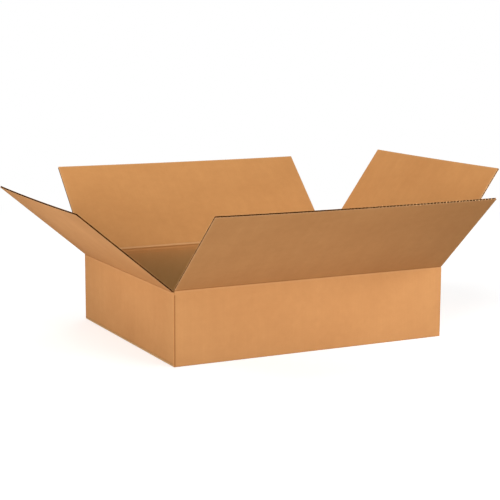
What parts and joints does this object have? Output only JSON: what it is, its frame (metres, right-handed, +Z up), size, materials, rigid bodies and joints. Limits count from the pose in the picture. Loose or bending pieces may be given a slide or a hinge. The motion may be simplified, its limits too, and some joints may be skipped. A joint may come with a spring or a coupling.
{
  "type": "open cardboard box",
  "caption": "Shallow corrugated shipping box standing open, closed base, hinged top flaps leaning outwards, fluted cut edges.",
  "frame": {"origin": "centre of the underside of the closed base, on the surface that the box stands on", "axes": "+X along the box's length, +Y from the front wall to the back wall, +Z up"},
  "size_m": [0.9939, 0.8891, 0.3666],
  "materials": {
    "kraft_board": "matte unprinted kraft liner"
  },
  "bodies": {
    "carton": {"carton_body": "kraft_board"},
    "front_flap": {"front_flap": "kraft_board"},
    "back_flap": {"back_flap": "kraft_board"},
    "left_flap": {"left_flap": "kraft_board"},
    "right_flap": {"right_flap": "kraft_board"}
  },
  "joints": [
    {"name": "front_flap_hinge", "type": "hinge", "parent": "carton", "child": "front_flap", "pos_m": [0, -0.25815, 0.1565], "axis": [1, 0, 0], "range_deg": [-138, 76]},
    {"name": "back_flap_hinge", "type": "hinge", "parent": "carton", "child": "back_flap", "pos_m": [0, 0.25815, 0.1565], "axis": [-1, 0, 0], "range_deg": [-135.5, 78.5]},
    {"name": "left_flap_hinge", "type": "hinge", "parent": "carton", "child": "left_flap", "pos_m": [-0.32165, 0, 0.1522], "axis": [0, -1, 0], "range_deg": [-140, 74]},
    {"name": "right_flap_hinge", "type": "hinge", "parent": "carton", "child": "right_flap", "pos_m": [0.32165, 0, 0.1522], "axis": [0, 1, 0], "range_deg": [-125.5, 88.5]}
  ]
}
